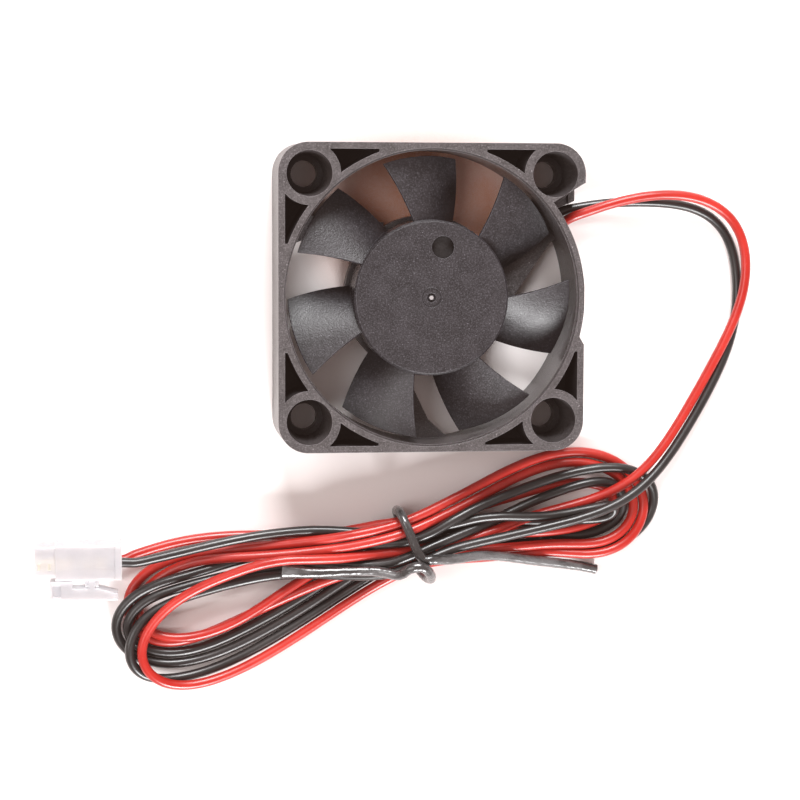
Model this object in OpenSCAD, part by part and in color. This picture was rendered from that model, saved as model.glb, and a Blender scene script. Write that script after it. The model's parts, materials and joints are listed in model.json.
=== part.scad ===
// Square axial cooling fan with its coiled two-wire lead, twist tie and two-way latch connector.
// Origin: rotor axis at the rear mounting face. +Z points out of the intake side.

/* [Fan frame] */
// Outside width of the square frame
frame_w = 40; // [39.5:0.1:40.5]
// Thickness from rear face to front face
frame_t = 10; // [9.8:0.1:10.4]
// Distance between neighbouring screw holes
hole_pitch = 32; // [31.8:0.1:32.2]
// Diameter of the screw holes in the rear flange
screw_d = 3.5; // [3.2:0.1:4]
// Diameter of the open mouth of each corner boss
mouth_d = 5.9; // [5:0.1:6.2]
// Diameter of the air passage
bore_d = 38.1; // [37.8:0.1:38.3]

/* [Impeller] */
// Diameter of the hub cup
hub_d = 20.2; // [19.8:0.1:20.6]
// Height of the hub's front face over the rear face
hub_top = 9; // [8.9:0.05:9.4]
// Diameter over the blade tips
tip_d = 36.7; // [35:0.1:36.9]
// Number of blades
blade_count = 7; // [3:1:7]
// Greatest thickness of a blade
blade_t = 1.0; // [0.7:0.1:1.2]

/* [Lead] */
// Outside diameter of one insulated wire
wire_d = 1.3; // [1:0.05:1.3]
// Height step between wires that cross
layer_h = 1.36; // [1.34:0.01:1.4]
// Outside diameter of the coated tie
tie_d = 1.4; // [1:0.05:1.4]

/* [Connector] */
// Length of the connector's main block
plug_l = 8.6; // [8.4:0.1:8.8]
// Thickness of the main block
plug_w = 4.5; // [4.4:0.1:4.6]
// Height of the main block across its two ways
plug_h = 5.9; // [5.8:0.1:6.2]
// Distance between the two contacts
way_pitch = 2.5; // [2.4:0.1:2.5]

/* [Hidden] */

$fn = 64;
EPS = 0.01;

// Frame
half_w = frame_w / 2;
corner_r = 3.9;
wall = 0.85;
ring_r = 20.05;
boss_r = 4.05;
boss_in = 2.5;
flange_t = 2.0;
pocket_floor = 2.4;
lip_r = bore_d / 2 + 0.25;
lip_h = 0.4;
base_r = 10.6;
base_floor = 0.25;
base_top = 1.15;
rim_in = 9.8;
rim_top = 2.2;
strut_top = 2.35;
strut_w = 2.6;
wire_strut_w = 4.2;
strut_ring_a = [32.5, 152.5, 272.5];
strut_sweep = 29;
channel_w = 3.1;
channel_top = 1.75;
notch_floor = 3.0;
notch_a = 31;
notch_side = 2.5;
notch_open = 1.0;
ledge_in = 0.85;

// Motor
tube_r = 2.7;
bearing_r = 1.94;
tube_top = 6.4;
shaft_r = 0.75;
shaft_from = 1.32;
shaft_top = 8.52;
board_z = 1.7;
board_t = 0.6;
board_r = 9.5;
board_top = board_z + board_t;
hub_wall_in = 9.3;
hub_bottom = 2.6;
hub_inner_top = hub_top - 0.9;
yoke_in = 8.8;
magnet_in = 7.9;
pole_r = 7.5;
core_z = 4.2;
core_h = 2.0;
arm_w = 2.4;
sleeve_t = 0.25;

// Connector
plug_x = -40.1;
plug_y = -34.55;
way_y = -34.75;
way_z = [plug_h / 2 - way_pitch / 2, plug_h / 2 + way_pitch / 2];
lever_x = -44.0;
lever_y = -37.45;
pivot_r = 0.55;

wire_r = wire_d / 2;
tie_r = tie_d / 2;
core_r = 0.26;

function polar(r, a) = [r * cos(a), r * sin(a)];
function unit(v) = v / norm(v);
function mix(a, b, t) = a + (b - a) * t;

// ---- Routes -------------------------------------------------------------------------------
// A route point is [x, y, level]: level 0 lies on the table, and each level is one layer_h up.
table_gap = 0.03;
function place(route, r) = [for (p = route) [p[0], p[1], r + table_gap + p[2] * layer_h]];

// Smooth curve through all points: n steps between neighbours, end directions kept.
function knot_at(p, i) = p[max(0, min(len(p) - 1, i))];
function between(a, b, c, d, t) =
    (2 * b + (c - a) * t + (2 * a - 5 * b + 4 * c - d) * t * t
        + (3 * b - a - 3 * c + d) * t * t * t) / 2;
function smooth(p, n) = concat(
    [for (i = [0 : len(p) - 2]) for (k = [0 : n - 1])
        between(knot_at(p, i - 1), p[i], p[i + 1], knot_at(p, i + 2), k / n)],
    [p[len(p) - 1]]);

// Ends of the insulation beside the board pads.
wire_end_x = 7.0;

// Slots of the bundle where the tie holds it: across is -2 to 2, level 1 to 3.
tie_at = [-2.1, -32.9];
bundle_a = 18;
slot_pitch = 1.40;
function slot(across, level) = [
    tie_at[0] - across * slot_pitch * sin(bundle_a),
    tie_at[1] + across * slot_pitch * cos(bundle_a), level + 0.06];

// Red wire, from the circuit board to the connector.
red_start = [[wire_end_x, -0.55, 0.25], [9.7, -0.3, 0.25], [13.0, 4.0, 0.25], [15.6, 7.5, 0.25],
    [17.5, 8.85, 0.25], [20.0, 10.45, 1.4]];
red_lead = [[23.7, 11.9, 2.2], [29.2, 13.6, 2.3], [35.7, 13.9, 2.2], [41.4, 11.9, 1.6], [44.4, 7.4, 1.2],
    [44.4, 0.5, 1.2], [42.3, -5.6, 0.6], [37.3, -13.6, 0.6], [32.6, -21.2, 2.0], [28.6, -25.2, 2.1],
    [23.4, -28.0, 1.1], [16.8, -29.5, 0.9], [9.8, -30.7, 1.5], [3.4, -32.0, 2.2]];
red_left_front = [[-8.2, -35.2, 3.0], [-15.0, -34.6, 3.0], [-22.0, -35.3, 3.0], [-29.2, -37.6, 2.6],
    [-34.2, -40.2, 2.2], [-37.6, -43.6, 2.0], [-38.7, -47.7, 2.0], [-36.5, -51.3, 1.8], [-31.8, -52.5, 1.2],
    [-26.2, -51.0, 0.6], [-20.0, -47.4, 0.3], [-13.2, -42.9, 0.2], [-7.2, -38.4, 0.4]];
red_right_outer = [[4.0, -35.0, 0.4], [9.8, -34.8, 0.0], [15.2, -34.7, 0.3], [20.4, -35.4, 1.0],
    [25.4, -35.6, 1.0], [29.4, -33.2, 1.0], [31.0, -28.9, 0.6], [29.8, -24.4, 0.0], [25.8, -21.4, 0.0],
    [20.4, -20.7, 0.0], [14.6, -21.9, 0.4], [8.6, -24.9, 1.4], [2.8, -28.0, 2.6]];
red_left_rear = [[-8.6, -31.9, 3.0], [-15.4, -32.8, 2.0], [-23.0, -33.7, 1.0], [-30.6, -34.4, 0.2],
    [-36.8, -35.9, 0.0], [-39.6, -38.8, 0.0], [-39.9, -42.6, 0.0], [-37.8, -45.8, 0.0], [-33.9, -46.9, 0.0],
    [-28.6, -46.1, 0.0], [-21.8, -42.9, 0.1], [-14.8, -38.6, 0.4], [-8.2, -36.0, 1.4]];
red_right_middle = [[4.2, -33.9, 1.6], [9.8, -33.7, 1.2], [15.0, -33.5, 1.2], [20.2, -34.0, 1.0],
    [24.8, -34.2, 1.0], [28.2, -32.0, 1.0], [29.6, -28.8, 0.6], [28.5, -25.2, 0.0], [24.9, -22.8, 0.0],
    [20.2, -22.1, 0.0], [14.8, -23.3, 0.4], [9.0, -26.2, 1.4], [3.3, -29.3, 2.6]];
red_left_inner = [[-8.2, -33.3, 3.0], [-15.0, -33.9, 2.6], [-22.4, -34.6, 2.0], [-30.0, -35.8, 1.1],
    [-35.6, -37.3, 0.2], [-38.2, -39.8, 0.0], [-38.6, -42.9, 0.2], [-36.8, -45.1, 0.6], [-33.4, -46.0, 0.8],
    [-28.2, -45.3, 0.9], [-21.6, -42.2, 1.0], [-14.6, -37.8, 1.0], [-8.2, -34.2, 0.4]];
red_right_inner = [[4.0, -31.4, 0.2], [9.6, -32.2, 0.6], [15.4, -32.3, 0.5], [20.6, -31.9, 0.2],
    [24.9, -30.9, 0.0], [27.2, -29.2, 0.0], [27.3, -27.2, 0.0], [25.0, -25.7, 0.0], [21.4, -25.1, 0.0],
    [16.8, -25.8, 0.1], [11.6, -27.6, 0.4], [6.0, -29.4, 1.4]];
red_end = [[-8.4, -32.2, 1.6], [-15.2, -32.0, 0.8], [-23.2, -31.7, 0.2], [-30.6, -31.9, 0.2],
    [-36.6, -33.4, 0.5], [-39.8, way_y, 0.78], [-43.4, way_y, 0.78]];

// Black wire, from the circuit board to the connector.
black_start = [[wire_end_x, 0.85, 0.25], [9.4, 1.4, 0.25], [11.9, 4.9, 0.25], [14.4, 8.55, 0.25],
    [16.4, 9.93, 0.25], [19.25, 11.35, 0.5]];
black_lead = [[23.6, 12.45, 0.7], [29.6, 12.5, 0.8], [35.6, 12.5, 0.8], [40.2, 10.7, 0.2], [42.9, 7.0, 0.0],
    [43.6, 0.6, 0.0], [42.9, -6.4, 0.3], [38.6, -14.0, 0.8], [33.6, -22.2, 1.8], [29.4, -26.5, 2.9],
    [24.0, -29.3, 3.0], [17.2, -30.8, 2.8], [10.0, -32.1, 2.8], [3.6, -33.9, 2.8]];
black_left_front = [[-7.8, -36.4, 2.0], [-14.8, -36.1, 2.0], [-22.0, -36.7, 2.0], [-29.0, -38.4, 1.4],
    [-34.2, -40.4, 1.0], [-38.4, -42.9, 2.0], [-40.1, -47.5, 2.0], [-38.1, -50.9, 1.2], [-34.0, -51.4, 0.2],
    [-28.8, -50.4, 0.0], [-21.8, -46.8, 0.0], [-14.4, -42.0, 0.0], [-7.6, -37.6, 0.0]];
black_right_outer = [[4.0, -33.6, 0.0], [10.0, -33.4, 0.0], [15.8, -33.3, 0.0], [21.2, -34.4, 0.0],
    [26.4, -35.0, 0.0], [30.8, -32.4, 0.0], [32.4, -28.0, 0.0], [30.8, -24.4, 1.0], [27.0, -22.7, 1.2],
    [21.8, -23.4, 1.0], [15.6, -25.0, 1.0], [9.6, -27.8, 1.8], [3.8, -30.5, 2.8]];
black_left_outer = [[-8.0, -34.6, 1.6], [-14.8, -34.6, 0.5], [-22.0, -34.9, 0.6], [-29.4, -35.9, 1.0],
    [-36.0, -37.3, 1.2], [-40.2, -40.4, 1.0], [-41.9, -43.9, 0.6], [-40.2, -47.2, 0.2], [-36.0, -49.6, 0.0],
    [-30.2, -49.1, 0.0], [-22.8, -45.4, 0.0], [-15.0, -40.8, 0.0], [-8.0, -36.4, 0.2]];
black_right_middle = [[4.0, -32.4, 0.0], [9.8, -32.0, 0.0], [15.4, -32.0, 0.0], [21.0, -33.0, 0.0],
    [25.8, -32.2, 0.0], [28.6, -29.4, 0.0], [28.7, -26.4, 0.6], [25.4, -24.3, 1.2], [20.6, -25.6, 1.2],
    [15.0, -27.6, 1.0], [9.2, -29.4, 1.4], [4.0, -31.3, 2.4]];
black_left_inner = [[-7.8, -35.6, 3.0], [-14.6, -35.3, 1.0], [-22.2, -35.6, 0.8], [-29.6, -37.0, 1.2],
    [-35.6, -38.6, 1.2], [-39.2, -41.2, 1.0], [-40.0, -44.2, 0.6], [-38.4, -47.0, 0.2], [-34.2, -48.3, 0.0],
    [-28.8, -47.6, 0.0], [-22.0, -44.5, 0.0], [-14.8, -39.4, 0.0], [-8.0, -35.2, 0.0]];
black_right_inner = [[4.0, -32.2, 1.0], [9.8, -31.1, 0.7], [15.6, -31.1, 0.8], [21.2, -31.2, 1.0],
    [25.4, -30.3, 1.2], [27.0, -28.8, 1.5], [25.4, -27.9, 2.0], [22.0, -28.8, 2.1], [16.6, -30.0, 2.0],
    [10.2, -30.6, 1.9], [3.8, -31.0, 1.7]];
black_end = [[-8.2, -31.6, 2.0], [-14.4, -31.2, 1.6], [-22.0, -31.3, 2.0], [-29.8, -32.9, 2.4],
    [-36.2, -34.6, 2.6], [-39.8, way_y, 2.62], [-43.4, way_y, 2.62]];

red_route = concat(red_start, red_lead, [slot(-1, 2)], red_left_front, [slot(-2, 1)], red_right_outer,
    [slot(2, 3)], red_left_rear, [slot(-2, 2)], red_right_middle, [slot(1, 3)], red_left_inner,
    [slot(2, 1)], red_right_inner, [slot(1, 2)], red_end);
black_route = concat(black_start, black_lead, [slot(-2, 3)], black_left_front, [slot(-1, 1)],
    black_right_outer, [slot(0, 3)], black_left_outer, [slot(0, 1)], black_right_middle, [slot(-1, 3)],
    black_left_inner, [slot(1, 1)], black_right_inner, [slot(0, 2)], black_end);

// Tie: one turn around the bundle, a half twist on top, then a tail to each side.
tie_reach = 2 * slot_pitch + wire_r + tie_r + 0.3;
tie_under = tie_r + table_gap;
tie_over = 2 * wire_r + tie_r + 3.06 * layer_h + 0.23;
function around(w, z, along) = [
    tie_at[0] - w * sin(bundle_a) + along * cos(bundle_a),
    tie_at[1] + w * cos(bundle_a) + along * sin(bundle_a), z];
tie_route = [[-19.2, -36.1, 4.7], [-15.2, -36.5, 4.6], [-10.4, -36.4, 4.8], [-6.6, -36.4, 5.3],
    around(-3.1, tie_over, -2.9), around(-2.6, tie_over + 1.2, -1.3), around(-2.8, tie_over + 1.45, 0.2),
    around(-4.1, tie_over + 0.6, 1.1), around(-tie_reach - 0.8, tie_over - 1.4, 1.2),
    around(-tie_reach - 0.8, tie_under + 2.2, 0.8), around(-tie_reach + 0.3, tie_under + 0.4, 0.4),
    around(-tie_reach + 2.0, tie_under, 0.1), around(0, tie_under, 0), around(tie_reach - 2.0, tie_under, 0),
    around(tie_reach - 0.4, tie_under + 0.4, 0), around(tie_reach, tie_under + 2.0, 0),
    around(tie_reach - 0.1, tie_over - 1.3, 0), around(tie_reach - 1.3, tie_over, 0.1),
    around(1.2, tie_over, 0.3), around(-1.0, tie_over, 0.5), around(-2.3, tie_over, 1.0),
    around(-2.7, tie_over - 0.05, 2.2), [3.4, -34.9, 5.6], [8.4, -34.7, 4.1], [14.7, -35.7, 2.6],
    [21.0, -36.7, 1.3], [24.0, -37.4, 0.8]];

// ---- Spreading ----------------------------------------------------------------------------
// The strands are nudged apart in small rounds until each has its own lane.
spread_rounds = 64;
lane_gap = 0.08;
reach = 4.4;

// Shortest link between segments a-b and c-d: [link, how far along a-b it starts].
function clamp(x) = max(0, min(1, x));
function link(a, b, c, d) =
    let (u = b - a, v = d - c, w = a - c)
    let (uu = u * u, uv = u * v, vv = v * v, uw = u * w, vw = v * w, den = uu * vv - uv * uv)
    let (s = den > 1e-6 ? clamp((uv * vw - vv * uw) / den) : 0.5)
    let (t = clamp((uv * s + vw) / vv), s2 = clamp((uv * t - uw) / uu))
    [w + s2 * u - t * v, s2];

// Push on both ends of segment i from the segments near it.
least_gap = 0.05;
function away(g, d, i, j) = d > least_gap ? g[0] / d : [0, 0, i < j ? 1 : -1];
function shove(p, r, i, near) =
    let (parts = [for (j = near)
            let (g = link(p[i], p[i + 1], p[j], p[j + 1]), d = norm(g[0]))
            let (lane = r[i] + r[j] + lane_gap)
            if (d < lane)
                let (m = away(g, d, i, j) * (lane - d) / 2)
                concat(m * (1 - g[1]), m * g[1])])
    len(parts) == 0 ? [0, 0, 0, 0, 0, 0] : [for (q = parts) 1] * parts;

// One round: half of a point's own push, a quarter of each neighbour's, and a little straightening.
straighten = 0.04;
function first_half(v) = [v[0], v[1], v[2]];
function last_half(v) = [v[3], v[4], v[5]];
function settle(p, r, push, i) =
    let (shift = push[i] / 2 + (push[i - 1] + push[i + 1]) / 4)
    let (q = p[i] + shift + straighten * ((p[i - 1] + p[i + 1]) / 2 - p[i]))
    [q[0], q[1], max(q[2], r[i] + table_gap)];
function nudge(p, r, free, near) =
    let (n = len(p), s = [for (i = [0 : n - 2]) shove(p, r, i, near[i])])
    let (push = [for (i = [0 : n - 1])
            (i < n - 1 ? first_half(s[i]) : [0, 0, 0]) + (i > 0 ? last_half(s[i - 1]) : [0, 0, 0])])
    [for (i = [0 : n - 1]) free[i] == 0 ? p[i] : settle(p, r, push, i)];
function spread(p, r, free, near, rounds) =
    rounds == 0 ? p : spread(nudge(p, r, free, near), r, free, near, rounds - 1);

// Red and black strands after spreading, with the tie as a fixed obstacle.
fixed_start = 10;
fixed_end = 4;
function held(i, n) = i <= fixed_start || i >= n - fixed_end;
function apart(owner, i, j) = owner[j] == owner[j + 1] && (owner[i] != owner[j] || abs(i - j) > 2);
function strands() =
    let (red = smooth(place(red_route, wire_r), 2), black = smooth(place(black_route, wire_r), 2))
    let (band = smooth(tie_route, 2), p = concat(red, black, band))
    let (a = len(red), b = len(black), n = len(p))
    let (owner = [for (i = [0 : n - 1]) i < a ? 0 : i < a + b ? 1 : 2])
    let (r = [for (k = owner) k < 2 ? wire_r : tie_r])
    let (free = [for (i = [0 : n - 1])
            owner[i] == 2 || (owner[i] == 0 ? held(i, a) : held(i - a, b)) ? 0 : 1])
    let (mid = [for (i = [0 : n - 2]) (p[i] + p[i + 1]) / 2])
    let (near = [for (i = [0 : n - 2])
            owner[i] != owner[i + 1] || owner[i] == 2 ? []
                : [for (j = [0 : n - 2])
                    if (norm(mid[i] - mid[j]) < reach && apart(owner, i, j)) j]])
    let (q = spread(p, r, free, near, spread_rounds))
    [[for (i = [0 : a - 1]) q[i]], [for (i = [a : a + b - 1]) q[i]]];

// ---- General shapes -----------------------------------------------------------------------
// Tube of radius r_out along points p; r_in above 0 leaves it hollow.
module tube(p, r_out, r_in, sides) {
    n = len(p);
    last = n - 1;
    around = [0 : sides - 1];
    function heading(i) = unit(knot_at(p, i + 1) - knot_at(p, i - 1));
    function loop(i, r) =
        let (t = heading(i), s = unit(cross(t, [0, 0, 1])), u = cross(s, t))
        [for (k = around) p[i] + r * (cos(360 * k / sides) * s + sin(360 * k / sides) * u)];
    function id(i, k, shell) = (shell * n + i) * sides + k % sides;
    function quad(a, b, c, d) = [[a, b, c], [a, c, d]];
    outer = [for (i = [0 : last]) each loop(i, r_out)];
    inner = [for (i = [0 : last]) each loop(i, r_in)];
    skin = [for (i = [0 : last - 1], k = around)
        each quad(id(i, k, 0), id(i, k + 1, 0), id(i + 1, k + 1, 0), id(i + 1, k, 0))];
    lining = [for (i = [0 : last - 1], k = around)
        each quad(id(i, k, 1), id(i + 1, k, 1), id(i + 1, k + 1, 1), id(i, k + 1, 1))];
    rims = [for (k = around) each concat(
        quad(id(0, k, 0), id(0, k, 1), id(0, k + 1, 1), id(0, k + 1, 0)),
        quad(id(last, k, 0), id(last, k + 1, 0), id(last, k + 1, 1), id(last, k, 1)))];
    caps = [for (k = [1 : sides - 2]) each [
        [id(0, 0, 0), id(0, k + 1, 0), id(0, k, 0)],
        [id(last, 0, 0), id(last, k, 0), id(last, k + 1, 0)]]];
    if (r_in > 0)
        polyhedron(concat(outer, inner), concat(skin, lining, rims));
    else
        polyhedron(outer, concat(skin, caps));
}

module block(x, y, z, l, w, h) {
    translate([x, y, z]) cube([l, w, h]);
}

module ring(r_out, r_in, z, h) {
    translate([0, 0, z])
        difference() {
            cylinder(r = r_out, h = h);
            translate([0, 0, -1]) cylinder(r = r_in, h = h + 2);
        }
}

module rounded_block(w, r, h) {
    linear_extrude(h) {
        square([w - 2 * r, w], center = true);
        square([w, w - 2 * r], center = true);
        for (x = [-1, 1]) for (y = [-1, 1]) translate([x, y] * (w / 2 - r)) circle(r = r);
    }
}

module at_holes() {
    for (x = [-1, 1]) for (y = [-1, 1]) translate([x, y, 0] * hole_pitch / 2) children();
}

// ---- Fan frame ----------------------------------------------------------------------------
// Clearance hole through the rear flange, opening into a long drafted well.
module screw_hole() {
    well_h = frame_t - flange_t;
    translate([0, 0, -1]) cylinder(d = screw_d, h = frame_t);
    translate([0, 0, flange_t]) cylinder(r1 = boss_in, r2 = mouth_d / 2, h = well_h);
    translate([0, 0, frame_t - EPS]) cylinder(d = mouth_d, h = 1);
}

module corner_pockets() {
    inner = half_w - wall;
    blunt = 7.0;
    at = hole_pitch / 2;
    for (i = [0 : 3])
        rotate(90 * i)
            difference() {
                block(blunt, blunt, pocket_floor, inner - blunt, inner - blunt, frame_t);
                translate([0, 0, -1]) cylinder(r = ring_r, h = frame_t + 2);
                translate([at, at, -1]) cylinder(r = boss_r, h = frame_t + 2);
                block(at, at, -1, inner, inner, frame_t + 2);
            }
}

// Side wall cut away where the lead leaves: open down to the table beside the wires, with a
// ledge between them and the boss. The slot through the ring is low at the air passage and
// taller outside, where the wires climb.
module wire_notch() {
    from = 14;
    ledge_out = 0.4;
    slot_from = bore_d / 2 - 0.2;
    slot_w = 3.4;
    slot_low = 1.95;
    slot_top = 5.0;
    slot_to = ring_r + 0.1;
    climb_from = slot_from + 0.9;
    slot_y = notch_open - slot_w;
    difference() {
        rotate(notch_a) {
            translate([0, 0, -1])
                linear_extrude(frame_t + 2)
                    polygon([[from, -16], [2 * from, -16], [2 * from, ledge_out],
                        [ring_r + 4, ledge_out], [ring_r, ledge_in], [from, ledge_in]]);
            block(from, 0, notch_floor, from, notch_side, frame_t);
        }
        translate([0, 0, -1]) cylinder(r = ring_r, h = frame_t + 2);
    }
    rotate(notch_a) {
        block(slot_from, slot_y, -1, slot_to - slot_from, slot_w, slot_low + 1);
        block(climb_from, slot_y, -1, slot_to - climb_from, slot_w, slot_top + 1);
    }
}

// Swept bar from the base to the ring, w wide, flared on each side where it meets the ring.
module swept_bar(a, w, h, flare_left, flare_right, early) {
    from = polar(base_r - 0.6, a - strut_sweep);
    to = polar(ring_r, a);
    run = norm(to - from);
    neck = run - 3.2;
    half = w / 2;
    translate([from[0], from[1], 0])
        rotate(atan2(to[1] - from[1], to[0] - from[0]))
            linear_extrude(h)
                polygon([[-early, -half], [neck, -half], [run, -half - flare_right],
                    [run, half + flare_left], [neck, half], [-early, half]]);
}

module strut(a, w, h) {
    flare = 1.3;
    intersection() {
        cylinder(r = ring_r - 0.5, h = h);
        swept_bar(a, w, h, flare, flare, 0);
    }
}

module wire_channel() {
    swept_bar(strut_ring_a[0], channel_w, channel_top + 1, 0, 1.3, 0.8);
    block(5.4, -1.35, 0, 5.6, 3.3, channel_top + 1);
}

module outer_shell() {
    difference() {
        rounded_block(frame_w, corner_r, frame_t);
        translate([0, 0, -1]) cylinder(d = bore_d, h = frame_t + 2);
        translate([0, 0, frame_t - lip_h]) cylinder(r = lip_r, h = 1);
        corner_pockets();
    }
}

module base_and_struts() {
    difference() {
        union() {
            translate([0, 0, base_floor]) cylinder(r = base_r, h = rim_top - base_floor);
            strut(strut_ring_a[0], wire_strut_w, strut_top);
            strut(strut_ring_a[1], strut_w, rim_top - 0.2);
            strut(strut_ring_a[2], strut_w, rim_top - 0.2);
        }
        translate([0, 0, base_top]) cylinder(r = rim_in, h = frame_t);
        translate([0, 0, -1]) cylinder(r = base_r - 0.5, h = 1 + base_floor);
    }
    ring(tube_r, bearing_r + 0.01, base_top - EPS, tube_top - base_top + EPS);
    for (a = [90, 210, 330])
        rotate(a) translate([8.8, 0, base_top - EPS]) cylinder(r = 0.5, h = board_z - base_top);
}

module fan_frame() {
    color("#454244")
        difference() {
            union() {
                outer_shell();
                base_and_struts();
            }
            at_holes() screw_hole();
            wire_notch();
            translate([0, 0, -1]) wire_channel();
        }
}

// ---- Impeller -----------------------------------------------------------------------------
blade_rows = 9;
blade_cols = 11;
hub_r = hub_d / 2;
tip_r = tip_d / 2;
// Blade edges as [angle, height] at the hub and at the tip.
lead_hub = [0.4, hub_top - 0.45];
lead_tip = [7.2, hub_top - 0.75];
trail_hub = [-32.8, 3.1];
trail_tip = [-24.4, 4.25];

function blade_at(r, v) =
    let (u = (r - hub_r) / (tip_r - hub_r), w = v - 0.09 * sin(180 * v),
         lead = mix(lead_hub, lead_tip, u), trail = mix(trail_hub, trail_tip, u))
    [mix(lead[0], trail[0], v), mix(lead[1], trail[1], w)];
function blade_skin(r, v, side) =
    let (p = blade_at(r, v), q = blade_at(r, v + 0.01))
    let (run = (q[0] - p[0]) * PI / 180 * r, drop = q[1] - p[1])
    let (half = blade_t * (0.3 + 0.7 * sin(180 * v)) / 2, n = unit([-drop, run]) * half * side)
    let (a = p[0] + n[0] / r * 180 / PI)
    [r * cos(a), r * sin(a), p[1] + n[1]];

module blade() {
    size = 2 * blade_cols;
    points = [for (i = [0 : blade_rows - 1])
        let (r = mix(hub_wall_in + 0.2, tip_r, i / (blade_rows - 1)))
        each concat(
            [for (j = [0 : blade_cols - 1]) blade_skin(r, j / (blade_cols - 1), 1)],
            [for (j = [blade_cols - 1 : -1 : 0]) blade_skin(r, j / (blade_cols - 1), -1)])];
    function id(i, k) = i * size + (k + size) % size;
    skin = [for (i = [0 : blade_rows - 2]) for (k = [0 : size - 1])
        each [[id(i, k), id(i, k + 1), id(i + 1, k + 1)], [id(i, k), id(i + 1, k + 1), id(i + 1, k)]]];
    function cap(i, flip) = [for (k = [0 : blade_cols - 2])
        let (a = id(i, k), b = id(i, k + 1), c = id(i, size - 2 - k), d = id(i, size - 1 - k))
        each (flip ? [[a, c, b], [a, d, c]] : [[a, b, c], [a, c, d]])];
    polyhedron(points, concat(skin, cap(0, true), cap(blade_rows - 1, false)));
}

module impeller() {
    chamfer = 0.25;
    gate_dish = 0.2;
    color("#3f3c3e")
        union() {
            difference() {
                rotate_extrude()
                    polygon([[0, hub_inner_top], [hub_wall_in, hub_inner_top],
                        [hub_wall_in, hub_bottom], [hub_r, hub_bottom], [hub_r, hub_top - chamfer],
                        [hub_r - chamfer, hub_top], [0, hub_top]]);
                translate([1.45, 6.55, hub_inner_top - 1]) cylinder(d = 2.9, h = 3);
                translate([0, 0, 6]) cylinder(r = shaft_r + 0.01, h = shaft_top - 6 + EPS);
                translate([0, 0, hub_top - gate_dish]) cylinder(r = 1.3, h = 1);
                ring(0.58, 0.3, hub_top - 0.45, 1);
            }
            ring(2.0, shaft_r + 0.01, 6.9, hub_inner_top - 6.9 + EPS);
            for (i = [0 : blade_count - 1]) rotate(i * 360 / blade_count) blade();
        }
}

// ---- Rotor inside the hub -----------------------------------------------------------------
module rotor_yoke() {
    plate = 0.5;
    color("#8a8d90") {
        difference() {
            translate([0, 0, 3]) cylinder(r = hub_wall_in - 0.01, h = hub_inner_top - 3 - 0.01);
            translate([0, 0, 2]) cylinder(r = yoke_in, h = hub_inner_top - plate - 2);
            cylinder(r = 2.1, h = hub_top);
        }
    }
}

module ring_magnet() {
    color("#2b2422") ring(yoke_in - 0.01, magnet_in, 3.1, 4.2);
}

module rotor_shaft() {
    color("#c9ccd0")
        difference() {
            translate([0, 0, shaft_from]) cylinder(r = shaft_r, h = shaft_top - shaft_from);
            ring(shaft_r + 1, 0.55, 1.5, 0.22);
        }
}

module retaining_clip() {
    color("#e6e2d8")
        difference() {
            ring(1.5, 0.56, 1.52, 0.18);
            block(0, -0.4, 1, 3, 0.8, 1);
        }
}

// ---- Bearing ------------------------------------------------------------------------------
washer_t = 0.17;
pad_t = 0.15;
bearing_z = 1.95;

module sleeve_bearing() {
    color("#b08a4a") ring(bearing_r, shaft_r + 0.03, bearing_z, tube_top - 0.2 - bearing_z);
}

module oil_washer() {
    color("#efe9dc") ring(bearing_r, shaft_r + 0.06, tube_top - 0.2 + EPS, washer_t);
}

module thrust_pad() {
    color("#f2efe6") translate([0, 0, base_top]) cylinder(r = 1.8, h = pad_t);
}

// ---- Stator -------------------------------------------------------------------------------
module four_poles() {
    for (a = [0 : 90 : 270]) rotate(a) children();
}

module lamination(z, h) {
    shoe = 72;
    union() {
        ring(3.9, tube_r + 0.02, z, h);
        four_poles() block(3.5, -arm_w / 2, z, 3.4, arm_w, h);
        four_poles() translate([0, 0, z]) rotate(-shoe / 2) rotate_extrude(angle = shoe)
            translate([6.6, 0]) square([pole_r - 6.6, h]);
    }
}

module stator_core() {
    sheets = 4;
    sheet_h = core_h / sheets;
    color("#9a9da0") for (i = [0 : sheets - 1]) lamination(core_z + i * sheet_h, sheet_h - 0.01);
}

// Half of the slot liner below the core; side walls reach the middle of the stack.
module insulator_half(lugs) {
    plate = 0.3;
    side = arm_w / 2 + sleeve_t;
    ring(3.9, tube_r + 0.05, core_z - plate, plate - 0.01);
    four_poles() {
        block(3.6, -side, core_z - plate, 2.9, 2 * side, plate - 0.01);
        for (y = [-side, arm_w / 2 + 0.01])
            block(3.95, y, core_z - plate, 2.5, sleeve_t - 0.01, plate + core_h / 2 - 0.02);
        block(6.22, -2.2, core_z - plate - 0.6, 0.3, 4.4, plate + 0.58);
    }
    if (lugs)
        rotate(45)
            four_poles()
                difference() {
                    block(3.7, -0.45, core_z - plate, 1.8, 0.9, plate - 0.01);
                    translate([5, 0, core_z - 1]) cylinder(r = 0.21, h = 2);
                }
}

module lower_insulator() {
    color("#ece6d4") insulator_half(true);
}

module upper_insulator() {
    color("#ece6d4")
        translate([0, 0, 2 * core_z + core_h]) mirror([0, 0, 1]) insulator_half(false);
}

module stator_coils() {
    gap = 0.02;
    inner = [core_h + 2 * 0.3 + gap, arm_w + 2 * sleeve_t + gap];
    outer = inner + [1.3, 1.6];
    bend = 0.6;
    color("#b5652d")
        four_poles()
            translate([4.0, 0, core_z + core_h / 2])
                rotate([0, 90, 0])
                    linear_extrude(2.2)
                        difference() {
                            union() {
                                square(outer - [0, 2 * bend], center = true);
                                square(outer - [2 * bend, 0], center = true);
                                for (x = [-1, 1], y = [-1, 1])
                                    translate([x * (outer[0] / 2 - bend), y * (outer[1] / 2 - bend)])
                                        circle(r = bend);
                            }
                            square(inner, center = true);
                        }
}

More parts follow.
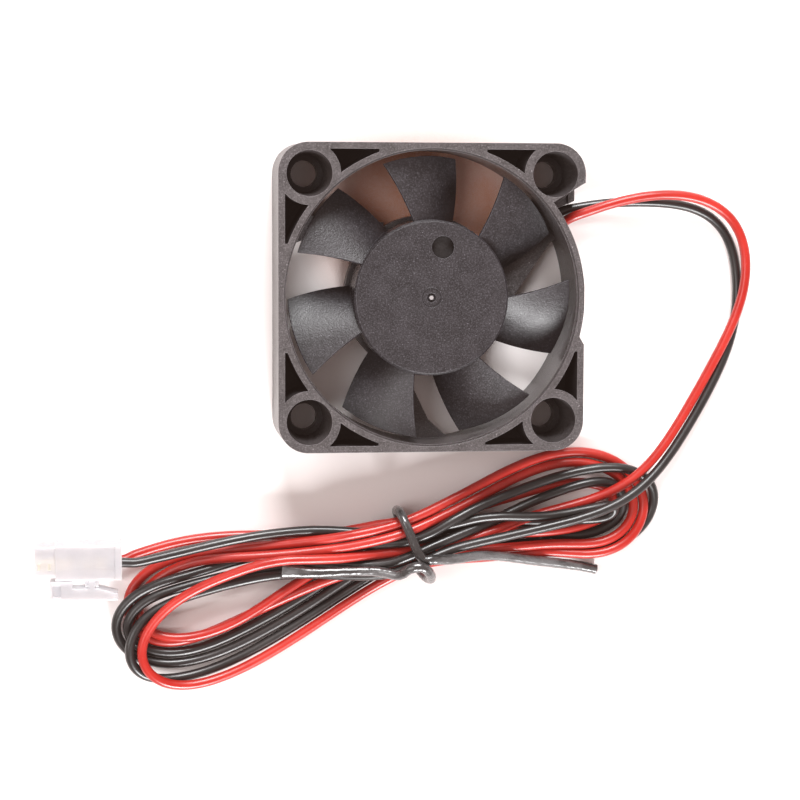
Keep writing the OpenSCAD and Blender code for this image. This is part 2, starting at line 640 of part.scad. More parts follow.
module at_pins() {
    rotate(45) four_poles() translate([5, 0, 0]) children();
}

wire_pad = [[6.2, -0.55], [6.2, 0.85]];

module winding_pins() {
    color("#d8d2bc") at_pins() translate([0, 0, 1.45]) cylinder(r = 0.2, h = core_z - 1.5);
}

// ---- Circuit board ------------------------------------------------------------------------
module circuit_board() {
    color("#2f6b3c")
        difference() {
            ring(board_r, tube_r + 0.1, board_z, board_t);
            at_pins() cylinder(r = 0.25, h = 5);
            for (p = wire_pad) translate([p[0], p[1], 0]) cylinder(r = 0.35, h = 5);
        }
}

module on_board(x, y, l, w, h) {
    block(x - l / 2, y - w / 2, board_top, l, w, h);
}

module hall_sensor() {
    color("#1e1e20") rotate(45) on_board(8.05, 0, 1.5, 1.8, 0.5);
}

module driver_chip() {
    color("#1e1e20") on_board(-6.1, 0, 3, 2, 0.65);
}

module board_capacitor() {
    color("#b49a72") on_board(0, -6.95, 1.6, 0.9, 0.7);
}

module solder_joints() {
    color("#c4c6c8") {
        at_pins()
            difference() {
                translate([0, 0, board_z - 0.32]) cylinder(r1 = 0.3, r2 = 0.55, h = 0.31);
                cylinder(r = 0.21, h = 5);
            }
        for (p = wire_pad)
            translate([p[0], p[1], 0])
                difference() {
                    translate([0, 0, board_top + 0.01]) cylinder(r1 = 0.6, r2 = 0.4, h = 0.35);
                    cylinder(r = 0.31, h = 5);
                }
    }
}

board_wire_z = wire_r + table_gap + 0.25 * layer_h;
module wire_conductors() {
    strand_r = 0.3;
    grip_x = -45.3;
    grip_l = 1.89;
    color("#c98a5a") {
        for (p = wire_pad)
            translate([p[0], p[1], board_wire_z]) {
                cylinder(r = strand_r, h = board_top + 0.3 - board_wire_z);
                rotate([0, 90, 0]) cylinder(r = strand_r, h = wire_end_x - p[0] - EPS);
            }
        for (z = way_z)
            translate([grip_x, way_y, z]) rotate([0, 90, 0]) cylinder(r = strand_r, h = grip_l);
    }
}

// ---- Lead and tie -------------------------------------------------------------------------
module red_wire() {
    color("#d8342a") tube(strands()[0], wire_r, 0, 6);
}

module black_wire() {
    color("#2a2829") tube(strands()[1], wire_r, 0, 6);
}

module tie_coating() {
    color("#353334") tube(smooth(tie_route, 3), tie_r, core_r + 0.02, 6);
}

module tie_core() {
    color("#b9bcc0") tube(smooth(tie_route, 3), core_r, 0, 6);
}

// ---- Connector ----------------------------------------------------------------------------
module connector_housing() {
    nose_l = 2.7;
    nose_h = plug_h - 0.9;
    nose_w = 3.8;
    nose_z = (plug_h - nose_h) / 2;
    cavity = 1.9;
    nose_cavity = 1.7;
    collar = 0.9;
    step = 0.2;
    back = plug_x - plug_l;
    nose_x = back - nose_l;
    side = plug_y - plug_w / 2;
    socket_w = 1.8;
    socket_z = 1.0;
    socket_y = lever_y - 0.35;
    color("#f4f2ef")
        difference() {
            union() {
                block(back, side, EPS, plug_l, plug_w, plug_h - step);
                block(plug_x - collar, side, EPS, collar, plug_w, plug_h - EPS);
                block(nose_x, plug_y - 1.7, nose_z, nose_l + 1, nose_w, nose_h);
                block(lever_x - socket_w / 2, socket_y, socket_z,
                    socket_w, side - socket_y + 0.5, plug_h - 2 * socket_z);
            }
            for (z = way_z) {
                translate([0, way_y, z]) {
                    block(nose_x - 1, -nose_cavity / 2, -nose_cavity / 2,
                        nose_l + 2, nose_cavity, nose_cavity);
                    block(back, -cavity / 2, -cavity / 2, plug_l + 1, cavity, cavity);
                }
            }
            translate([lever_x, lever_y, 0]) cylinder(r = pivot_r + 0.05, h = plug_h + 1);
            for (x = [0.45, 1.8]) block(nose_x + x, way_y - 0.7, nose_z + nose_h - 0.25, 0.3, 0.9, 1);
        }
}

// Rocking latch: thumb end at the right, hook arm at the left, with a catch pocket in it.
module latch_lever() {
    z = 1.15;
    h = plug_h - 2 * z;
    low = plug_y - 5.1;
    top = low + 1.6;
    arm = low + 2.5;
    hook_x = lever_x - 5.4;
    thumb_x = lever_x + 3.4;
    color("#f4f2ef")
        difference() {
            union() {
                translate([lever_x, lever_y, z]) cylinder(r = pivot_r, h = h);
                block(lever_x - 0.4, top - 0.2, z, 0.8, lever_y - top + 0.2, h);
                translate([0, 0, z])
                    linear_extrude(h)
                        polygon([[hook_x, low], [thumb_x, low], [thumb_x, low + 0.9],
                            [thumb_x - 1, low + 1.15], [thumb_x - 2, low + 1.45], [lever_x + 0.8, top],
                            [lever_x - 2.5, top], [lever_x - 2.5, arm], [hook_x, arm]]);
            }
            block(hook_x + 0.3, low + 0.5, z + h - 0.5, 1.1, 1.5, 2);
        }
}

// Box receptacle, neck, conductor grip and insulation grip, one behind the other.
module crimp_terminal() {
    s = 0.8;
    skin = 0.2;
    box = s - skin;
    box_x = -51.0;
    box_l = 4.6;
    neck_x = box_x + box_l - 0.1;
    core_x = -45.4;
    core_l = 1.7;
    grip_x = -43.4;
    grip_l = 1.4;
    difference() {
        union() {
            block(box_x, -s, -s, box_l, 2 * s, 2 * s);
            block(neck_x, -0.5, -s, 1.2, 1.0, 0.25);
            block(core_x, -0.55, -s, core_l, 1.1, 1.5);
            block(grip_x, -s, -s, grip_l, 2 * s, 2 * s);
        }
        block(box_x - 0.5, -box, -box, box_l + 0.8, 2 * box, 2 * box);
        translate([core_x - 0.2, 0, 0]) rotate([0, 90, 0]) cylinder(r = 0.32, h = core_l + 0.4);
        translate([grip_x - 0.2, 0, 0]) rotate([0, 90, 0]) cylinder(r = wire_r + 0.02, h = 2);
    }
    block(grip_x - 0.4, -0.5, -s, 0.5, 1.0, 0.13);
}

module crimp_terminals() {
    color("#c9b37a") for (z = way_z) translate([0, way_y, z]) crimp_terminal();
}

module rear_label() {
    color("#d8d8d6") translate([0, 0, 0.1]) cylinder(r = base_r - 0.8, h = 0.14);
}

fan_frame();
impeller();
rotor_yoke();
ring_magnet();
rotor_shaft();
retaining_clip();
sleeve_bearing();
oil_washer();
thrust_pad();
stator_core();
lower_insulator();
upper_insulator();
stator_coils();
winding_pins();
circuit_board();
hall_sensor();
driver_chip();
board_capacitor();
solder_joints();
wire_conductors();
red_wire();
black_wire();
tie_coating();
tie_core();
connector_housing();
latch_lever();
crimp_terminals();
rear_label();
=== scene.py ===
import json
import math

import bmesh
import bpy
from mathutils import Matrix, Vector


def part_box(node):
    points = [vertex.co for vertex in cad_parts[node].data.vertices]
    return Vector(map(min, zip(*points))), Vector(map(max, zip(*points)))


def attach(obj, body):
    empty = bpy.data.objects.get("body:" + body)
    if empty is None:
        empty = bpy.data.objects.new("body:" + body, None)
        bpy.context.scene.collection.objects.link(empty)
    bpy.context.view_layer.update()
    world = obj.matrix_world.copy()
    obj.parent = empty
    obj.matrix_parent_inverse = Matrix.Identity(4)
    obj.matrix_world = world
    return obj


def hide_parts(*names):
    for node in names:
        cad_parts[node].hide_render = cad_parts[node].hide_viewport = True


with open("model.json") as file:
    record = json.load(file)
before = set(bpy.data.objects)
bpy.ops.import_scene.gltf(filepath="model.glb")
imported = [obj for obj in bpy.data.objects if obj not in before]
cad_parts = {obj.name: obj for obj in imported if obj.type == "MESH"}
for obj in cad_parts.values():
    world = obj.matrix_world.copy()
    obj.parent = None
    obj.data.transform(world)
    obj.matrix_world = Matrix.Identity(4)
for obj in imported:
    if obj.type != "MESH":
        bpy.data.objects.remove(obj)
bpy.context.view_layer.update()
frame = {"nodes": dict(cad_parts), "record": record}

MM = 0.001
ROOT = "stator"

# Camera: place in millimetres, turn about x, y and z in degrees, focal length in millimetres.
CAMERA_AT = (-43.486, 13.465, 298.290)
CAMERA_TURN = (5.2814, 7.7204, 0.4927)
FOCAL_LENGTH = 101.5

# Radii in millimetres of the smooth tubes that replace the faceted wires and tie, and the one
# radius that the width of every tube's UV map is measured at.
WIRE_R = 0.645
TIE_R = 0.655
TIE_CORE_R = 0.26
UV_R = 0.65


# ---- Materials ----------------------------------------------------------------------------
class Recipe:
    """A node material being put together. Sizes of textures are in millimetres."""

    def __init__(self, name):
        self.material = bpy.data.materials.new(name)
        self.material.use_nodes = True
        self.tree = self.material.node_tree
        self.bsdf = next(n for n in self.tree.nodes if n.type == "BSDF_PRINCIPLED")
        self.object = self.node("ShaderNodeTexCoord").outputs["Object"]
        self.uv = self.node("ShaderNodeTexCoord").outputs["UV"]

    def node(self, kind, inputs=None, **settings):
        made = self.tree.nodes.new(kind)
        for key, value in settings.items():
            setattr(made, key, value)
        for key, value in (inputs or {}).items():
            self.plug(made.inputs[key], value)
        return made

    def plug(self, socket, value):
        if isinstance(value, bpy.types.NodeSocket):
            self.tree.links.new(value, socket)
        else:
            socket.default_value = value

    def set(self, **values):
        for key, value in values.items():
            self.plug(self.bsdf.inputs[key.replace("_", " ")], value)

    def noise(self, size, detail=3.0, roughness=0.55, coords=None, stretch=(1, 1, 1)):
        mapped = self.node("ShaderNodeMapping", {0: coords or self.object, "Scale": stretch})
        made = self.node("ShaderNodeTexNoise", {"Vector": mapped.outputs[0], "Scale": 1000.0 / size,
                                                "Detail": detail, "Roughness": roughness})
        return made.outputs[0]

    def range(self, value, low, high, out_low=0.0, out_high=1.0):
        made = self.node("ShaderNodeMapRange", {"Value": value, "From Min": low, "From Max": high,
                                                "To Min": out_low, "To Max": out_high})
        return made.outputs[0]

    def mix(self, fac, a, b, blend="MIX"):
        made = self.node("ShaderNodeMix", data_type="RGBA", blend_type=blend)
        self.plug(made.inputs[0], fac)
        self.plug(made.inputs[6], a if isinstance(a, bpy.types.NodeSocket) else (*a, 1.0))
        self.plug(made.inputs[7], b if isinstance(b, bpy.types.NodeSocket) else (*b, 1.0))
        return made.outputs[2]

    def math(self, operation, a, b=0.0):
        made = self.node("ShaderNodeMath", operation=operation)
        self.plug(made.inputs[0], a)
        self.plug(made.inputs[1], b)
        return made.outputs[0]

    def axis(self, name):
        """One part of the surface normal, in the object's own axes."""
        split = self.node("ShaderNodeSeparateXYZ", {0: self.node("ShaderNodeTexCoord").outputs["Normal"]})
        return split.outputs[name]

    def bump(self, height, depth, normal=None):
        made = self.node("ShaderNodeBump", {"Height": height, "Distance": depth * MM, "Strength": 1.0})
        if normal is not None:
            self.plug(made.inputs["Normal"], normal)
        return made.outputs[0]

    def open_air(self, reach, low, high):
        """How open the surroundings are within reach: 0 at low, 1 at high."""
        seen = self.node("ShaderNodeAmbientOcclusion", {"Distance": reach * MM}, samples=5)
        return self.range(seen.outputs["AO"], low, high)

    def edges(self, radius):
        """1 on convex and concave edges within radius, 0 on open faces; also the softened normal."""
        soft = self.node("ShaderNodeBevel", {"Radius": radius * MM}, samples=4).outputs[0]
        hard = self.node("ShaderNodeNewGeometry").outputs["Normal"]
        dot = self.node("ShaderNodeVectorMath", {0: soft, 1: hard}, operation="DOT_PRODUCT")
        return self.range(dot.outputs["Value"], 0.98, 0.80), soft


def filled_plastic(name, dark, light, fibre_and_edge_highlight, gloss, gate=False):
    """Moulded glass-filled plastic: mottled base, bright fibres at the skin, a painted highlight along
    the edges, painted shade in the cavities.
    A gate leaves a whitened vestige on the axis."""
    r = Recipe(name)
    cloud = r.noise(2.4, 4)
    mottle = r.noise(0.42, 3)
    grain = r.noise(0.20, 2)
    specks = r.range(r.noise(0.22, 1), 0.70, 0.80)
    edge, soft = r.edges(0.12)
    open_air = r.open_air(3.5, 0.25, 0.85)
    base = r.mix(r.range(r.math("ADD", cloud, mottle), 0.75, 1.25), dark, light)
    base = r.mix(r.range(grain, 0.30, 0.52, 0.42, 0.0), base, (0.0, 0.0, 0.0))
    base = r.mix(r.range(grain, 0.52, 0.72, 0.0, 0.22), base, fibre_and_edge_highlight)
    base = r.mix(r.math("MULTIPLY", specks, 0.8), base, fibre_and_edge_highlight)
    # Painted highlight: edges, convex and concave, are lightened towards the fibre colour.
    base = r.mix(r.math("MULTIPLY", edge, 0.5), base, fibre_and_edge_highlight)
    if gate:
        split = r.node("ShaderNodeSeparateXYZ", {0: r.object})
        across = [r.math("POWER", split.outputs[i], 2) for i in range(2)]
        off = r.math("SQRT", r.math("ADD", across[0], across[1]))
        ragged = r.math("ADD", off, r.math("MULTIPLY", grain, 0.2 * MM))
        base = r.mix(r.range(ragged, 0.42 * MM, 0.32 * MM), base, (0.30, 0.28, 0.28))
    # Painted shade: the colour is darkened where the surroundings close in.
    base = r.mix(open_air, tuple(0.8 * c for c in dark), base)
    upright = r.range(r.math("ABSOLUTE", r.axis("Z")), 0.5, 0.1)
    worn = r.math("ADD", r.math("MULTIPLY", cloud, 0.5), grain)
    rough = r.range(worn, 0.4, 1.1, gloss - 0.07, gloss + 0.12)
    r.set(Base_Color=base, Roughness=r.math("SUBTRACT", rough, r.math("MULTIPLY", upright, 0.16)))
    # The reflections are weakened there too, as painted shade.
    r.set(Specular_IOR_Level=r.range(open_air, 0.0, 1.0, 0.25, 0.5))
    r.set(Normal=r.bump(r.math("ADD", grain, r.math("MULTIPLY", mottle, 0.8)), 0.030, soft))
    return r.material


def wire_skin(name, dark, light, dust):
    """Glossy extruded insulation with faint drawn streaks, dull patches and a little dust."""
    r = Recipe(name)
    patch = r.noise(6.0, 3)
    streak = r.noise(0.35, 2, coords=r.uv, stretch=(0.02, 1, 1))
    specks = r.range(r.noise(0.14, 1), 0.72, 0.80)
    base = r.mix(r.range(patch, 0.3, 0.7), dark, light)
    base = r.mix(r.math("MULTIPLY", specks, 0.25), base, dust)
    r.set(Base_Color=base, Roughness=r.range(r.math("ADD", patch, streak), 0.7, 1.3, 0.27, 0.42))
    r.set(Coat_Weight=0.15, Coat_Roughness=0.16)
    r.set(Normal=r.bump(r.math("ADD", r.noise(0.6, 3), r.math("MULTIPLY", streak, 0.7)), 0.012))
    return r.material


def tie_skin(name):
    """Shiny dark coating, scuffed grey in long patches and grained lengthwise."""
    r = Recipe(name)
    scuff = r.range(r.noise(2.2, 4, 0.6, coords=r.uv, stretch=(0.35, 1, 1)), 0.45, 0.62)
    grain = r.noise(0.25, 3, coords=r.uv, stretch=(0.2, 1, 1))
    base = r.mix(scuff, (0.022, 0.021, 0.021), (0.105, 0.103, 0.105))
    r.set(Base_Color=base, Roughness=r.range(grain, 0.3, 0.7, 0.20, 0.34))
    r.set(Specular_IOR_Level=0.9, Coat_Weight=0.35, Coat_Roughness=0.20)
    r.set(Normal=r.bump(r.math("ADD", grain, r.noise(0.9, 3)), 0.016))
    return r.material


def milky_nylon(name):
    """Natural nylon: pale, light bleeding through thin walls, faint flow marks."""
    r = Recipe(name)
    flow = r.noise(3.0, 3)
    edge, soft = r.edges(0.12)
    base = r.mix(r.range(flow, 0.3, 0.7), (0.385, 0.375, 0.39), (0.425, 0.415, 0.43))
    # Painted highlight: edges, convex and concave, are painted paler.
    base = r.mix(r.math("MULTIPLY", edge, 0.3), base, (0.50, 0.49, 0.505))
    r.set(Base_Color=base, Roughness=r.range(r.noise(0.4, 2), 0.3, 0.7, 0.30, 0.46))
    r.set(Subsurface_Weight=1.0, Subsurface_Radius=(1.0, 0.92, 0.86), Subsurface_Scale=2.2 * MM)
    r.set(Normal=r.bump(r.noise(0.8, 3), 0.010, soft))
    return r.material


def metal(name, dark, light, gloss, grain=0.3, stretch=(1, 1, 8)):
    """Bare metal with drawn grain, tarnish clouds and softened edges."""
    r = Recipe(name)
    tarnish = r.noise(1.6, 4)
    lines = r.noise(grain, 2, stretch=stretch)
    edge, soft = r.edges(0.06)
    base = r.mix(r.range(tarnish, 0.3, 0.7), dark, light)
    # Painted highlight: edges, convex and concave, are painted brighter.
    base = r.mix(r.math("MULTIPLY", edge, 0.3), base, tuple(min(1, 1.15 * c) for c in light))
    r.set(Base_Color=base, Metallic=1.0, Roughness=r.range(lines, 0.3, 0.7, gloss - 0.08, gloss + 0.10))
    r.set(Normal=r.bump(lines, 0.006, soft))
    return r.material


def coated(name, dark, light, gloss, size=0.5, depth=0.01):
    """Painted, moulded or fired skin with clouds of colour and a fine surface."""
    r = Recipe(name)
    cloud = r.noise(size * 3, 4)
    edge, soft = r.edges(0.06)
    base = r.mix(r.range(cloud, 0.3, 0.7), dark, light)
    # Painted highlight: edges, convex and concave, are painted lighter.
    base = r.mix(r.math("MULTIPLY", edge, 0.2), base, tuple(min(1, 1.4 * c + 0.02) for c in light))
    r.set(Base_Color=base, Roughness=r.range(r.noise(size, 2), 0.3, 0.7, gloss - 0.08, gloss + 0.10))
    r.set(Normal=r.bump(r.noise(size * 0.6, 3), depth, soft))
    return r.material


def windings(name):
    """Enamelled copper turns laid side by side."""
    r = Recipe(name)
    turns = r.node("ShaderNodeTexWave", {"Vector": r.object, "Scale": 1000.0 / 0.9, "Distortion": 0.6,
                                         "Detail": 1.0}, bands_direction="DIAGONAL").outputs["Fac"]
    # Painted shade and highlight: dark in the grooves between turns, light on their crowns.
    base = r.mix(turns, (0.22, 0.07, 0.02), (0.70, 0.30, 0.12))
    r.set(Base_Color=base, Metallic=0.8, Roughness=r.range(r.noise(0.5, 2), 0.3, 0.7, 0.25, 0.4))
    r.set(Normal=r.bump(turns, 0.05))
    return r.material


def board_skin(name):
    """Solder resist over faint traces."""
    r = Recipe(name)
    traces = r.range(r.noise(1.8, 0), 0.49, 0.52)
    base = r.mix(traces, (0.012, 0.075, 0.030), (0.025, 0.14, 0.055))
    r.set(Base_Color=base, Roughness=r.range(r.noise(0.4, 2), 0.3, 0.7, 0.25, 0.4))
    r.set(Normal=r.bump(traces, 0.02))
    return r.material


def floor_skin(name):
    """Pale paper with a painted warm shade where the fan's upper blades close it in."""
    r = Recipe(name)
    hub_low, hub_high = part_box("impeller")
    middle = (Vector(hub_low) + Vector(hub_high)) / 2
    spot = (middle.x, middle.y + 12 * MM, 0)
    away = r.node("ShaderNodeVectorMath", {0: r.object, 1: spot}, operation="DISTANCE")
    near = r.range(away.outputs["Value"], 18 * MM, 9 * MM)
    painted_shade_mask = r.open_air(11.0, 0.62, 0.20)
    base = r.mix(r.noise(40.0, 3), (0.86, 0.81, 0.795), (0.89, 0.84, 0.825))
    # Painted shade: warm brown where the paper is closed in, near a spot just past the hub's middle.
    base = r.mix(r.math("MULTIPLY", painted_shade_mask, near), base, (0.46, 0.15, 0.065))
    r.set(Base_Color=base, Roughness=0.75)
    r.set(Normal=r.bump(r.noise(0.5, 3), 0.01))
    return r.material


def all_materials():
    return {
        # The third colour of each plastic serves its bright fibres and its painted edge highlight.
        "frame_plastic": filled_plastic("frame_plastic", (0.038, 0.0325, 0.0325), (0.073, 0.064, 0.065),
                                        (0.32, 0.29, 0.30), 0.46),
        "rotor_plastic": filled_plastic("rotor_plastic", (0.011, 0.0095, 0.011), (0.024, 0.021, 0.024),
                                        (0.17, 0.16, 0.18), 0.40, gate=True),
        "red_pvc": wire_skin("red_pvc", (0.33, 0.008, 0.004), (0.45, 0.020, 0.012), (0.9, 0.55, 0.5)),
        "black_pvc": wire_skin("black_pvc", (0.009, 0.008, 0.008), (0.018, 0.0155, 0.015),
                               (0.3, 0.28, 0.27)),
        "tie_plastic": tie_skin("tie_plastic"),
        "nylon": milky_nylon("nylon"),
        "steel": coated("steel", (0.006, 0.0045, 0.0045), (0.012, 0.009, 0.009), 0.85, 0.3, 0.008),
        "shaft_steel": metal("shaft_steel", (0.60, 0.60, 0.61), (0.72, 0.72, 0.73), 0.20, 0.1),
        "bearing_bronze": metal("bearing_bronze", (0.38, 0.22, 0.08), (0.55, 0.36, 0.15), 0.45, 0.15,
                                (1, 1, 1)),
        "tin_brass": metal("tin_brass", (0.55, 0.46, 0.26), (0.72, 0.64, 0.42), 0.30, 0.2),
        "copper": metal("copper", (0.60, 0.26, 0.13), (0.78, 0.40, 0.24), 0.32, 0.2),
        "solder": metal("solder", (0.52, 0.53, 0.54), (0.68, 0.69, 0.70), 0.28, 0.4, (1, 1, 1)),
        "magnet": coated("magnet", (0.010, 0.009, 0.009), (0.022, 0.019, 0.018), 0.70, 0.3, 0.03),
        "clip_plastic": coated("clip_plastic", (0.72, 0.69, 0.62), (0.80, 0.77, 0.71), 0.40),
        "insulator": coated("insulator", (0.66, 0.60, 0.45), (0.78, 0.73, 0.58), 0.42),
        "chip": coated("chip", (0.012, 0.012, 0.013), (0.022, 0.022, 0.023), 0.45, 0.2, 0.008),
        "ceramic": coated("ceramic", (0.30, 0.20, 0.11), (0.42, 0.30, 0.18), 0.45, 0.2),
        "label": coated("label", (0.58, 0.58, 0.57), (0.66, 0.66, 0.65), 0.30, 0.8, 0.004),
        "copper_wire": windings("copper_wire"),
        "board": board_skin("board"),
    }


# ---- Geometry helpers ---------------------------------------------------------------------
def smooth_group(angle):
    """Geometry nodes: weld the facets, then shade smooth except across edges sharper than angle."""
    tree = bpy.data.node_groups.new("weld_and_smooth", "GeometryNodeTree")
    tree.interface.new_socket("Geometry", in_out="INPUT", socket_type="NodeSocketGeometry")
    tree.interface.new_socket("Geometry", in_out="OUTPUT", socket_type="NodeSocketGeometry")
    start = tree.nodes.new("NodeGroupInput")
    weld = tree.nodes.new("GeometryNodeMergeByDistance")
    weld.inputs["Distance"].default_value = 0.002 * MM
    faces = tree.nodes.new("GeometryNodeSetShadeSmooth")
    faces.domain = "FACE"
    edges = tree.nodes.new("GeometryNodeSetShadeSmooth")
    edges.domain = "EDGE"
    edges.inputs["Shade Smooth"].default_value = False
    bend = tree.nodes.new("GeometryNodeInputMeshEdgeAngle")
    over = tree.nodes.new("FunctionNodeCompare")
    over.operation = "GREATER_THAN"
    over.inputs[1].default_value = angle
    end = tree.nodes.new("NodeGroupOutput")
    link = tree.links.new
    link(start.outputs[0], weld.inputs[0])
    link(weld.outputs[0], faces.inputs[0])
    link(faces.outputs[0], edges.inputs[0])
    link(bend.outputs[0], over.inputs[0])
    link(over.outputs[0], edges.inputs["Selection"])
    link(edges.outputs[0], end.inputs[0])
    return tree


def finish_cad(node, material, group):
    """Give a CAD node its material and smooth shading. Its mesh stays as it is."""
    for slot in node.material_slots:
        slot.material = material
    if not node.material_slots:
        node.data.materials.append(material)
    node.modifiers.new("smooth", "NODES").node_group = group


def ring_centres(node, sides=6):
    """Centre line of a CAD tube whose rings each have so many corners, from its leftmost end."""
    work = bmesh.new()
    work.from_mesh(frame["nodes"][node].data)
    bmesh.ops.remove_doubles(work, verts=work.verts, dist=0.002 * MM)
    first = min(work.verts, key=lambda v: v.co.x)
    layer = sorted(work.verts, key=lambda v: (v.co - first.co).length)[:sides]
    seen = set(layer)
    centres = []
    while layer:
        centres.append(sum((v.co for v in layer), Vector()) / len(layer))
        beyond = {e.other_vert(v) for v in layer for e in v.link_edges} - seen
        seen |= beyond
        layer = list(beyond)
    work.free()
    return centres


def curve_through(points, steps):
    """Catmull-Rom curve through the points."""
    last = len(points) - 1
    out = []
    for i in range(last):
        a, b = points[max(i - 1, 0)], points[i]
        c, d = points[i + 1], points[min(i + 2, last)]
        for k in range(steps):
            t = k / steps
            out.append((2 * b + (c - a) * t + (2 * a - 5 * b + 4 * c - d) * t * t
                        + (3 * b - a - 3 * c + d) * t * t * t) / 2)
    out.append(points[last].copy())
    return out


def ring_corners(path, run, size, sides):
    """Corners of a ring round each point of the path, carried along it without twisting."""
    last = len(path) - 1
    side = (path[1] - path[0]).normalized().cross(Vector((0, 0, 1))).normalized()
    corners = []
    for i, p in enumerate(path):
        ahead = (path[min(i + 1, last)] - path[max(i - 1, 0)]).normalized()
        side = (side - ahead * side.dot(ahead)).normalized()
        up = ahead.cross(side)
        for k in range(sides):
            turn = 2 * math.pi * k / sides
            corners.append(p + (side * math.cos(turn) + up * math.sin(turn)) * size(run[i], turn))
    return corners


def sweep(name, path, size, sides, hole=0.0):
    """Tube along a path; size(along, angle) is its radius. A hole pierces the end faces only.
    Its UV map is in metres."""
    run = [0.0]
    for a, b in zip(path, path[1:]):
        run.append(run[-1] + (b - a).length)
    verts = ring_corners(path, run, size, sides)
    faces, uvs = [], []
    for i in range(len(path) - 1):
        for k in range(sides):
            n = (k + 1) % sides
            faces.append((i * sides + k, i * sides + n, (i + 1) * sides + n, (i + 1) * sides + k))
            uvs.append([(run[i], k), (run[i], k + 1), (run[i + 1], k + 1), (run[i + 1], k)])
    for base, flip in ((0, False), ((len(path) - 1) * sides, True)):
        rim = list(range(base, base + sides))
        if hole:
            centre = path[0] if base == 0 else path[-1]
            inner = len(verts)
            for k in rim:
                verts.append(centre + (verts[k] - centre).normalized() * hole)
            for k in range(sides):
                n = (k + 1) % sides
                quad = (base + k, inner + k, inner + n, base + n)
                faces.append(quad[::-1] if flip else quad)
                uvs.append([(0, 0)] * 4)
        else:
            faces.append(tuple(rim) if flip else tuple(rim[::-1]))
            uvs.append([(0, 0)] * sides)
    mesh = bpy.data.meshes.new(name)
    mesh.from_pydata([tuple(v) for v in verts], [], faces)
    layer = mesh.uv_layers.new(name="UVMap")
    girth = 2 * math.pi * UV_R * MM / sides
    for face, corners in zip(mesh.polygons, uvs):
        for loop, (along, k) in zip(face.loop_indices, corners):
            layer.data[loop].uv = (along, k * girth)
    mesh.update()
    obj = bpy.data.objects.new(name, mesh)
    bpy.context.scene.collection.objects.link(obj)
    for face in mesh.polygons:
        face.use_smooth = len(face.vertices) == 4
    return obj


def add_piece(obj, slot, *nodes):
    """Attach a drawn piece to the fan's body, in place of the CAD nodes named."""
    obj.data.materials.append(MATERIALS[slot])
    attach(obj, ROOT)
    if nodes:
        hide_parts(*nodes)
    return obj


# ---- Pieces -------------------------------------------------------------------------------
def insulation(name, node, slot):
    """Round wire skin along the CAD wire, its radius wandering by under a hundredth of a millimetre."""
    path = curve_through(ring_centres(node), 4)

    def wobble(s, a):
        mm = s / MM
        return (WIRE_R + 0.004 * math.sin(mm * 0.9) + 0.003 * math.sin(mm * 2.3 + a)) * MM

    add_piece(sweep(name, path, wobble, 18), slot, node)


def tie():
    """Twist tie: a coating that is flat and swollen at its cut left end and ridged along its length."""
    path = curve_through(ring_centres("tie_core"), 5)

    def ridge(s, a):
        mm = s / MM
        swell = 0.30 * math.exp(-mm / 2.2) + 0.10 * math.exp(-mm / 9.0)
        ripple = 0.022 * math.cos(2 * a + mm * 0.35)
        ripple += 0.012 * (math.sin(mm * 3.1 + 2 * a) + math.sin(mm * 7.7 + a))
        return (TIE_R + swell * math.cos(a) ** 2 + ripple) * MM

    add_piece(sweep("tie_jacket", path, ridge, 20, hole=(TIE_CORE_R + 0.01) * MM),
              "tie_plastic", "tie_coating")
    add_piece(sweep("tie_strand", path, lambda s, a: TIE_CORE_R * MM, 12), "steel", "tie_core")


# ---- Stage --------------------------------------------------------------------------------
def floor():
    mesh = bpy.data.meshes.new("floor")
    half = 3.0
    low = -0.02 * MM
    mesh.from_pydata([(-half, -half, low), (half, -half, low), (half, half, low), (-half, half, low)], [],
                     [(0, 1, 2, 3)])
    obj = bpy.data.objects.new("floor", mesh)
    bpy.context.scene.collection.objects.link(obj)
    obj.data.materials.append(floor_skin("floor_paper"))


def area_light(name, at, aim, size, power, colour):
    """Square lamp, in metres and watts, facing the point it is aimed at."""
    lamp = bpy.data.lights.new(name, "AREA")
    lamp.shape = "SQUARE"
    lamp.size = size
    lamp.energy = power
    lamp.color = colour
    obj = bpy.data.objects.new(name, lamp)
    bpy.context.scene.collection.objects.link(obj)
    obj.location = at
    obj.rotation_mode = "QUATERNION"
    obj.rotation_quaternion = (Vector(aim) - Vector(at)).to_track_quat("-Z", "Y")


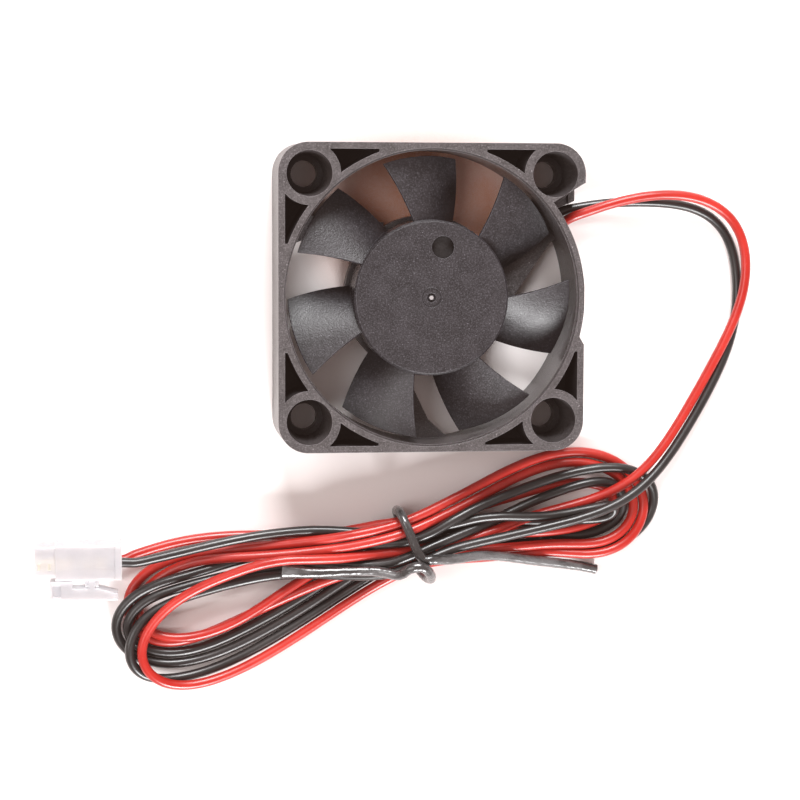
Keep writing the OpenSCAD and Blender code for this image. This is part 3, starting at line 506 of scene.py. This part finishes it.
def lights():
    """Warm dim surroundings, a large lamp behind, one in front and a weak one at the left."""
    world = bpy.data.worlds.new("studio")
    world.use_nodes = True
    sky = world.node_tree.nodes["Background"]
    sky.inputs["Color"].default_value = (1.0, 0.80, 0.745, 1)
    sky.inputs["Strength"].default_value = 0.50
    bpy.context.scene.world = world
    aim = (0, -0.015, 0)
    area_light("back_box", (-0.02, 0.74, 0.54), aim, 0.36, 13.0, (0.985, 0.99, 1.0))
    area_light("left_box", (-0.55, 0.05, 0.75), aim, 0.50, 3.0, (1.0, 0.99, 0.985))
    area_light("front_box", (0.15, -0.76, 0.47), aim, 0.30, 11.5, (0.99, 0.99, 1.0))


def camera():
    """Almost straight above, a few degrees to the left of the object and behind it."""
    lens = bpy.data.cameras.new("camera")
    lens.lens = FOCAL_LENGTH
    lens.sensor_width = 36.0
    lens.clip_start = 0.01
    lens.clip_end = 10.0
    obj = bpy.data.objects.new("camera", lens)
    bpy.context.scene.collection.objects.link(obj)
    turn = Matrix.Identity(3)
    for angle, axis in zip(CAMERA_TURN, "XYZ"):
        turn = Matrix.Rotation(math.radians(angle), 3, axis) @ turn
    obj.matrix_world = Matrix.Translation(Vector(CAMERA_AT) * MM) @ turn.transposed().to_4x4()
    bpy.context.scene.camera = obj


def veil():
    """Faint warm haze of the lens over the darkest tones."""
    view = bpy.context.scene.view_settings
    view.view_transform = "Standard"
    view.use_curve_mapping = True
    view.curve_mapping.black_level = (-0.0120, -0.0075, -0.0060)
    view.curve_mapping.update()


# ---- Build --------------------------------------------------------------------------------
MATERIALS = all_materials()
slots = {s["node"]: s["material_slot"] for s in frame["record"]["subparts"]}
group = smooth_group(math.radians(32))
for cad_name, cad_node in frame["nodes"].items():
    finish_cad(cad_node, MATERIALS[slots[cad_name]], group)

# The plug's thin milky nylon lets most of the lamps' light through, so it throws no hard shadow.
for cad_name in ("connector_housing", "latch_lever"):
    frame["nodes"][cad_name].visible_shadow = False

insulation("red_insulation", "red_wire", "red_pvc")
insulation("black_insulation", "black_wire", "black_pvc")
tie()
floor()
lights()
camera()
veil()
